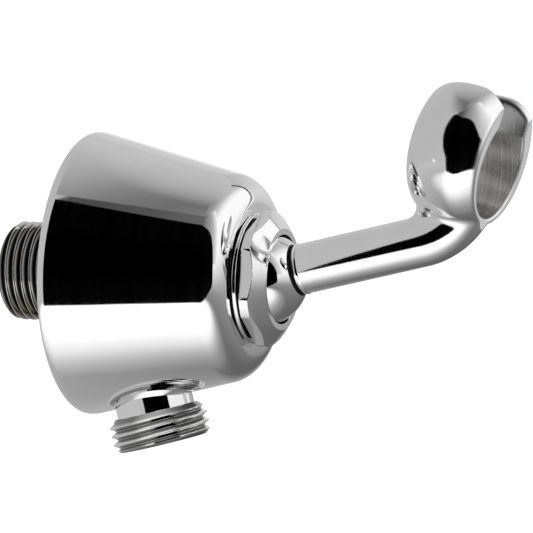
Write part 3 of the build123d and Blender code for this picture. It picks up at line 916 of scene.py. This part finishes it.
def gloss(material, noise, smoothest, roughest):
    """The grain shifts the roughness between two values."""
    tree = material.node_tree
    spread = tree.nodes.new("ShaderNodeMapRange")
    spread.inputs["From Min"].default_value = NOISE_LOW
    spread.inputs["From Max"].default_value = NOISE_HIGH
    spread.inputs["To Min"].default_value = smoothest
    spread.inputs["To Max"].default_value = roughest
    tree.links.new(noise, spread.inputs["Value"])
    tree.links.new(spread.outputs["Result"], tree.nodes["Principled BSDF"].inputs["Roughness"])


def relief(material, noise, depth, under=None):
    """The grain raises the surface by a depth in metres, on top of another relief if there is one."""
    tree = material.node_tree
    bump = tree.nodes.new("ShaderNodeBump")
    bump.inputs["Distance"].default_value = depth
    tree.links.new(noise, bump.inputs["Height"])
    if under is not None:
        tree.links.new(under, bump.inputs["Normal"])
    tree.links.new(bump.outputs[0], tree.nodes["Principled BSDF"].inputs["Normal"])
    return bump.outputs[0]


# %% [markdown]
# The fork's edges were broken on the polishing wheel before plating. The fork is a carried-over solid,
# whose mesh stays as it is, so a Bevel modifier is no help. A Bevel node leans the surface's direction
# over near each edge, and the mirror bends there as on the real piece.

# %% Edge softener
EDGE_SOFTENING_SAMPLES = 8


def softened_edges(material, radius):
    """A surface direction that turns smoothly over the piece's edges."""
    bevel = material.node_tree.nodes.new("ShaderNodeBevel")
    bevel.samples = EDGE_SOFTENING_SAMPLES
    bevel.inputs["Radius"].default_value = radius
    print(material.name, "edges softened over mm:", round(radius / MM, 1))
    return bevel.outputs["Normal"]


# %% [markdown]
# Polished chrome is a mirror with a faint haze. The polishing wheel leaves lines round the body, so the
# fine grain is stretched across the body's axis, and the hand at the wheel leaves a soft waviness of a
# centimetre or so. Both reliefs are far below what the eye sees as a bump: they only make the edges of
# the reflections swim a little. The nut went straight from the lathe to the plating bath, so its lines
# are deeper. The wheel can't reach between the fork's prongs, so the slot's faces are a greyer satin.

# %% Chrome
CHROME_DARK = (0.93, 0.93, 0.935)
CHROME_LIGHT = (0.985, 0.985, 0.985)
POLISHING_LINES = (25, 2600, 25)
WHEEL_WAVES = (75, 75, 75)
WAVE_DEPTH = 2e-5
POLISHED_DEPTH = 5e-7
TURNED_DEPTH = 2e-6
POLISHED_GLOSS = (0.02, 0.07)
TURNED_GLOSS = (0.05, 0.16)
SATIN_GLOSS = (0.10, 0.22)
SATIN_BRIGHTNESS = 0.72
FORK_EDGE = 0.0012
SLOT_EDGE = 0.0018


def chrome_finish(name, roughness, line_depth, edge_radius=None, brightness=1.0):
    """Plated metal with the marks of its polishing or turning, and soft edges where a radius is given."""
    material = finish(name, metallic=1.0)
    lines = grain(material, POLISHING_LINES)
    waves = grain(material, WHEEL_WAVES, detail=1.0)
    dark = [brightness * part for part in CHROME_DARK]
    light = [brightness * part for part in CHROME_LIGHT]
    tint(material, waves, dark, light)
    gloss(material, lines, *roughness)
    edges = softened_edges(material, edge_radius) if edge_radius else None
    relief(material, lines, line_depth, relief(material, waves, WAVE_DEPTH, edges))
    return material


polished_chrome = chrome_finish("polished chrome", POLISHED_GLOSS, POLISHED_DEPTH)
turned_chrome = chrome_finish("turned chrome", TURNED_GLOSS, TURNED_DEPTH)
fork_chrome = chrome_finish("fork chrome", POLISHED_GLOSS, POLISHED_DEPTH, FORK_EDGE)
slot_chrome = chrome_finish("slot face plating", SATIN_GLOSS, TURNED_DEPTH, SLOT_EDGE, SATIN_BRIGHTNESS)
for plating in (polished_chrome, turned_chrome, fork_chrome, slot_chrome):
    print(plating.name, "shader nodes:", len(plating.node_tree.nodes))

# %% [markdown]
# A thread is plated but never polished, and its root is darkened with painted shade. A Geometry node's
# Pointiness could find the roots, but only where the mesh is even. So the height of the tooth is stored on
# the mesh as an attribute, worked out from each point's radius.

# %% Tooth heights
def mark_teeth(piece, origin, direction):
    """Stores how high each point stands between the thread's root and its crest."""
    forward = Vector(direction).normalized()
    heights = piece.data.attributes.new("tooth", "FLOAT", "POINT")
    for vertex, height in zip(piece.data.vertices, heights.data):
        arm = vertex.co - Vector(origin)
        radius = (arm - forward * arm.dot(forward)).length / MM
        height.value = min(max((radius - ROOT) / (CREST - ROOT), 0), 1)
    print(piece.name, "points with a tooth height:", len(heights.data))


mark_teeth(stub, (0, 0, 0), OUT_OF_WALL)
mark_teeth(nipple, OUTLET_ROOT, OUTLET_DIRECTION)

# %% [markdown]
# An Attribute node reads the height back, and a Color Ramp turns it from a root darkened with painted shade
# to a bright crest. Two materials split by face would do, but with a hard line between them. The outlet's
# root gets a lighter painted shade. The inlet's thread goes into the wall; its crest is darker, and painted
# shade makes its root black.

# %% Thread metal
THREAD_SPECKS = (900, 900, 900)
THREAD_GLOSS = (0.04, 0.12)
THREAD_SPECK_DEPTH = 3e-6


def thread_with_root_shade(name, painted_root_shade, crest_shade):
    """Plated thread with painted shade darkening its root and a brighter crest."""
    material = finish(name, metallic=1.0)
    tooth_reading = material.node_tree.nodes.new("ShaderNodeAttribute")
    tooth_reading.attribute_name = "tooth"
    tint(material, tooth_reading.outputs["Fac"], painted_root_shade, crest_shade)
    plating_specks = grain(material, THREAD_SPECKS)
    gloss(material, plating_specks, *THREAD_GLOSS)
    relief(material, plating_specks, THREAD_SPECK_DEPTH)
    return material


# Painted shade: each thread's root colour is darker than its crest, and darkest on the inlet.
outlet_thread = thread_with_root_shade("outlet thread", (0.36, 0.36, 0.355), (0.95, 0.95, 0.95))
inlet_thread = thread_with_root_shade("inlet thread", (0.03, 0.03, 0.029), (0.72, 0.72, 0.71))
print("threads:", outlet_thread.name, "and", inlet_thread.name)

# %% [markdown]
# Where nobody looks, the brass stays as it came from the mould: the hollow behind the cone is dull,
# warm and a little rough. Sand leaves round grains, so this noise isn't stretched, and its relief is
# the deepest of all.

# %% Raw brass
CAST_GRAINS = (700, 700, 700)
CAST_DEPTH = 8e-5

raw_brass = finish("raw cast brass", metallic=1.0)
cast_grain = grain(raw_brass, CAST_GRAINS)
tint(raw_brass, cast_grain, (0.25, 0.185, 0.095), (0.43, 0.33, 0.175))
gloss(raw_brass, cast_grain, 0.4, 0.6)
relief(raw_brass, cast_grain, CAST_DEPTH)
print(raw_brass.name, "relief in mm:", CAST_DEPTH / MM)

# %% [markdown]
# The fork's bore was reamed after plating, so it shows grey-brown metal with rings round its axis and
# small dark specks. The rings are noise again, stretched across the bore: a turn of the coordinates
# lays it along the fork, which leans on its rod. Modelled rings would need thousands of faces and would
# still be finer than a pixel.

# %% Reamed bore
FORK_TURN_DEGREES = (-14.6, 0, 5.0)
REAMER_LINES = (45, 3600, 45)
REAMER_DEPTH = 2.5e-5
STAINS = (220, 220, 220)
PITS = (1500, 1500, 1500)
PIT_DEPTH = 6e-6

reamed_metal = finish("reamed bore", metallic=1.0)
reamer_rings = grain(reamed_metal, REAMER_LINES, FORK_TURN_DEGREES, detail=2.0)
stains = grain(reamed_metal, STAINS, detail=4.0)
pits = grain(reamed_metal, PITS, detail=2.0)
tint(reamed_metal, reamer_rings, (0.50, 0.49, 0.475), (0.84, 0.83, 0.815))
gloss(reamed_metal, stains, 0.16, 0.36)
relief(reamed_metal, reamer_rings, REAMER_DEPTH, relief(reamed_metal, pits, PIT_DEPTH))
print(reamed_metal.name, "rings to the mm:", REAMER_LINES[1] * MM)

# %% [markdown]
# The gap under the nut is deep and narrow, and its shade is painted: the nut's skirt there is coloured
# near-black as painted shade. A black colour alone still mirrors a little white at a flat angle, so the
# Specular IOR Level comes down too, set on the shader's own socket.

# %% Painted shade for the gaps
GAP_SHADE_GRAINS = (1200, 1200, 1200)
GAP_SHADE_MIRROR = 0.08

gap_painted_shade = finish("painted gap shade", metallic=0.0)
gap_shade_grain = grain(gap_painted_shade, GAP_SHADE_GRAINS)
# Painted shade: the near-black colour stands in for the shade deep in the gaps.
tint(gap_painted_shade, gap_shade_grain, (0.001, 0.001, 0.001), (0.006, 0.006, 0.006))
gloss(gap_painted_shade, gap_shade_grain, 0.35, 0.6)
gap_painted_shade.node_tree.nodes["Principled BSDF"].inputs["Specular IOR Level"].default_value = GAP_SHADE_MIRROR
print(gap_painted_shade.name, "specular level:", GAP_SHADE_MIRROR)

# %% [markdown]
# The small inner pieces are moulded or wound: black rubber rings, a dark filled-nylon seat in front of
# the ball, a white acetal cup behind it, steel springs, and a blue valve cartridge with a white
# plunger. Moulded skins differ in colour, shine and fineness and in nothing else, so one helper with
# those values makes them all.

# %% Rubber, plastics and spring steel
MOULD_DEPTH = 5e-6
WIRE_GRAINS = (1500, 1500, 1500)


def moulded(name, dark, light, smoothest, roughest, grains):
    """A plastic or rubber with a fine even skin."""
    material = finish(name, metallic=0.0)
    skin = grain(material, (grains, grains, grains))
    tint(material, skin, dark, light)
    gloss(material, skin, smoothest, roughest)
    relief(material, skin, MOULD_DEPTH)
    print(name, "grains to the metre:", grains)
    return material


seal_rubber = moulded("seal rubber", (0.010, 0.010, 0.011), (0.030, 0.030, 0.032), 0.5, 0.7, 1800)
seat_nylon = moulded("filled nylon", (0.012, 0.012, 0.013), (0.034, 0.034, 0.036), 0.35, 0.5, 1200)
seat_acetal = moulded("white acetal", (0.66, 0.65, 0.62), (0.78, 0.77, 0.74), 0.3, 0.42, 900)
valve_blue = moulded("blue valve plastic", (0.02, 0.09, 0.36), (0.035, 0.14, 0.48), 0.3, 0.42, 900)
plunger_white = moulded("white plunger plastic", (0.66, 0.66, 0.65), (0.80, 0.80, 0.79), 0.3, 0.42, 900)
spring_steel = finish("spring steel", metallic=1.0)
drawn_grain = grain(spring_steel, WIRE_GRAINS)
tint(spring_steel, drawn_grain, (0.38, 0.37, 0.36), (0.58, 0.57, 0.56))
gloss(spring_steel, drawn_grain, 0.2, 0.34)

# %% [markdown]
# Now the finishes go on. A piece with one finish takes one material slot. Where a piece has more, a
# short test on each face's place and direction chooses the slot. Painting a mask by hand would do it
# too, but a test still fits when the shape changes.

# %% Dress
def dress(piece, *finishes, choose=None):
    """Gives a piece its finishes; choose returns the slot of a face."""
    piece.data.materials.clear()
    for material in finishes:
        piece.data.materials.append(material)
    if choose:
        for face in piece.data.polygons:
            face.material_index = choose(face)
        others = sum(face.material_index > 0 for face in piece.data.polygons)
        print(piece.name, "faces outside its first finish:", others)


# %% [markdown]
# Four pieces on the fixed base have two finishes. The body is polished outside and raw in its hollow, the
# stub has painted shade in its thread's roots and turned chrome on its end, the nipple is polished on its
# neck, and the nut's skirt in the gap is coloured near-black as painted shade.

# %% Finishes on the base
SKIN = 0.6
NECK_EDGE = 0.05
SKIRT_SKIN = 0.06


def body_slot(face):
    """Polished skin outside, raw brass in the hollow and the bores."""
    place = -face.center.y / MM
    radius = math.hypot(face.center.x, face.center.z) / MM
    in_front = place > front_height and radius > SOCKET_RADIUS
    return 0 if in_front or radius > cone_radius(place) - SKIN - RIM_ROUND else 1


def stub_slot(face):
    """Thread metal outside, turned chrome on the end and in the bore."""
    return 0 if math.hypot(face.center.x, face.center.z) / MM > ROOT - SKIN else 1


def nipple_slot(face):
    """Thread metal on the teeth and in the bore, where the bore takes the root's painted shade, polished
    chrome on the neck.
    """
    arm = face.center - Vector(OUTLET_ROOT)
    place = arm.dot(Vector(OUTLET_DIRECTION)) / MM
    radius = (arm - Vector(OUTLET_DIRECTION) * place * MM).length / MM
    return 1 if radius > NIPPLE_BORE + SKIN and place < SHOULDER + NECK_EDGE else 0


def nut_slot(face):
    """Turned chrome on the hexagon, painted shade on the skirt in the gap behind it."""
    return 0 if -face.center.y / MM > NUT_BACK - SKIRT_SKIN else 1


dress(wall_body, polished_chrome, raw_brass, choose=body_slot)
dress(stub, inlet_thread, turned_chrome, choose=stub_slot)
dress(nipple, outlet_thread, polished_chrome, choose=nipple_slot)
dress(nut, turned_chrome, gap_painted_shade, choose=nut_slot)

# %% [markdown]
# The fork's bore and slot were cut after the ring was shaped, so their faces are found from the cut
# itself: near the bore's axis and facing it, or between the slot's walls and facing sideways. The mesh
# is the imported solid's own.

# %% Finishes on the arm
FORK_CENTRE = Vector((1.875, -88.523, 23.633)) * MM
FORK_FORWARD = Vector((-0.08392, -0.96416, -0.25169))
FORK_UP = Vector((0.15202, -0.26201, 0.95302))
FORK_SIDE = FORK_UP.cross(FORK_FORWARD)
BORE_RADIUS = 10.6
SLOT_HALF = 7.55
FACING = 0.9


def fork_slot(face):
    """Reamed metal in the bore and a satin plating on the slot's two faces."""
    arm = face.center - FORK_CENTRE
    along = arm.dot(FORK_FORWARD)
    out = arm - FORK_FORWARD * along
    in_bore = out.length < BORE_RADIUS * MM and face.normal.dot(out) < 0
    across = arm.dot(FORK_SIDE)
    sideways = abs(face.normal.dot(FORK_SIDE)) > FACING
    in_slot = abs(across) < SLOT_HALF * MM and sideways and arm.dot(FORK_UP) > 0
    return 1 if in_bore else 2 if in_slot else 0


dress(nodes["arm_fork"], fork_chrome, reamed_metal, slot_chrome, choose=fork_slot)
# The groove ring at the rod's end is coloured near-black as painted shade.
dress(rod_groove_shade_ring, gap_painted_shade)
dress(rod_bead, polished_chrome)

# %% [markdown]
# The spring gets its steel and a mesh of its own. The other solids take one finish each.

# %% Finishes on the other pieces
dress(valve_spring, spring_steel)
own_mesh(valve_spring)
for name, material in (
        ("wall_body", polished_chrome), ("outlet_nipple", outlet_thread), ("retaining_nut", turned_chrome),
        ("ball", polished_chrome), ("outlet_oring", seal_rubber), ("check_valve_oring", seal_rubber),
        ("check_valve_seal", seal_rubber), ("front_seat", seat_nylon), ("rear_seat", seat_acetal),
        ("friction_spring", spring_steel), ("check_valve_spring", spring_steel),
        ("check_valve_housing", valve_blue), ("check_valve_poppet", plunger_white)):
    dress(nodes[name], material)
    print(name, "takes", material.name)
